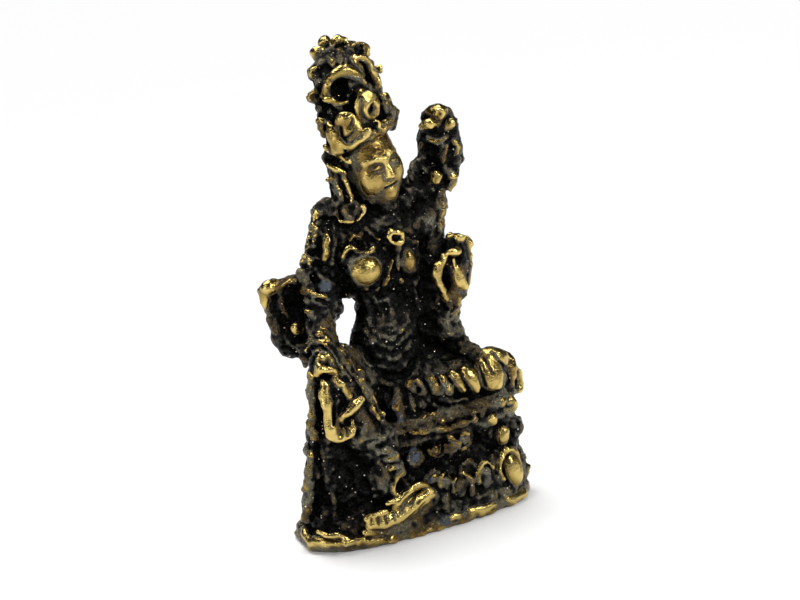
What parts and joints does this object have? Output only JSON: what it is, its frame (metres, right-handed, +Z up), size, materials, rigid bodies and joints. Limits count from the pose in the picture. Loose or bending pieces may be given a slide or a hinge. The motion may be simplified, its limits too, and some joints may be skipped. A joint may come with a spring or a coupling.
{
  "type": "seated tara figure",
  "caption": "Seated female deity cast in one piece with a double lotus throne, one leg pendant, holding a lotus at the left shoulder.",
  "frame": {"origin": "on the ground, under the middle of the casting's box", "axes": "+Z up along the figure, the face looks along -Y, +X to the figure's own left"},
  "size_m": [0.0214, 0.0098, 0.04],
  "materials": {
    "antique_brass": "worn gold on raised places, near-black patina in the folds"
  },
  "bodies": {
    "root": {"tara_figure": "antique_brass"}
  },
  "joints": []
}
